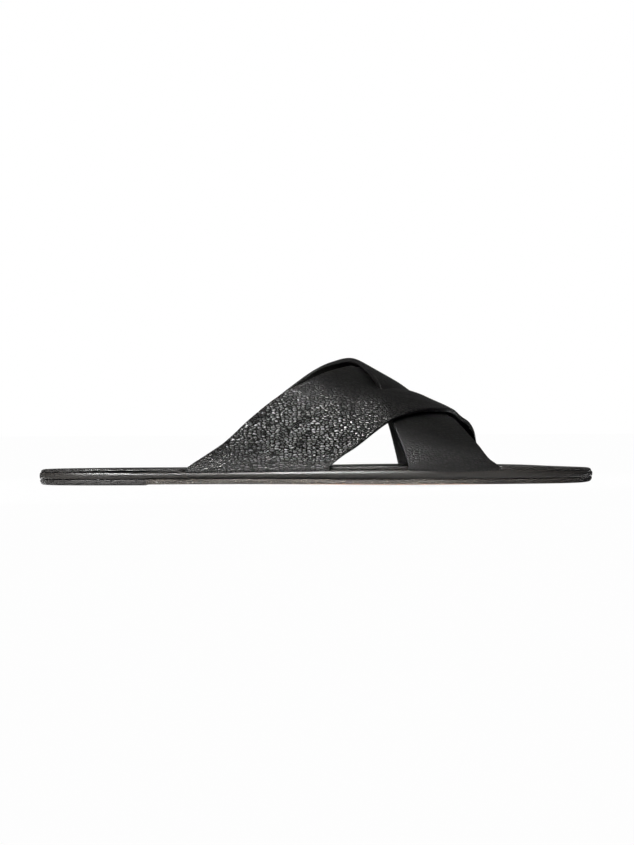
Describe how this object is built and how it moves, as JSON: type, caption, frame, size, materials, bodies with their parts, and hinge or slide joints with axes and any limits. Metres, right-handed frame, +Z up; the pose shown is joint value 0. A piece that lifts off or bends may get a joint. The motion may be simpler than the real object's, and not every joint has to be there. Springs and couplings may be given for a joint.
{
  "type": "slide sandal",
  "caption": "Flat slide sandal for a right foot: wide crossed leather straps, one passed through the other, on a thin layered sole with a heel tap.",
  "frame": {"origin": "on the ground, in the middle of the outline's length and width", "axes": "+X from the heel to the toe, +Y towards the big-toe side, +Z up"},
  "size_m": [0.285, 0.104, 0.064],
  "materials": {
    "upper": "black, pebble grained",
    "insole": "black, smooth",
    "midsole": "black, burnished edge",
    "outsole": "leather, edge painted black",
    "heel_tap": "black, matte"
  },
  "bodies": {
    "root": {"upper": "upper", "insole": "insole", "midsole": "midsole", "outsole": "outsole", "heel_tap": "heel_tap"}
  },
  "joints": []
}
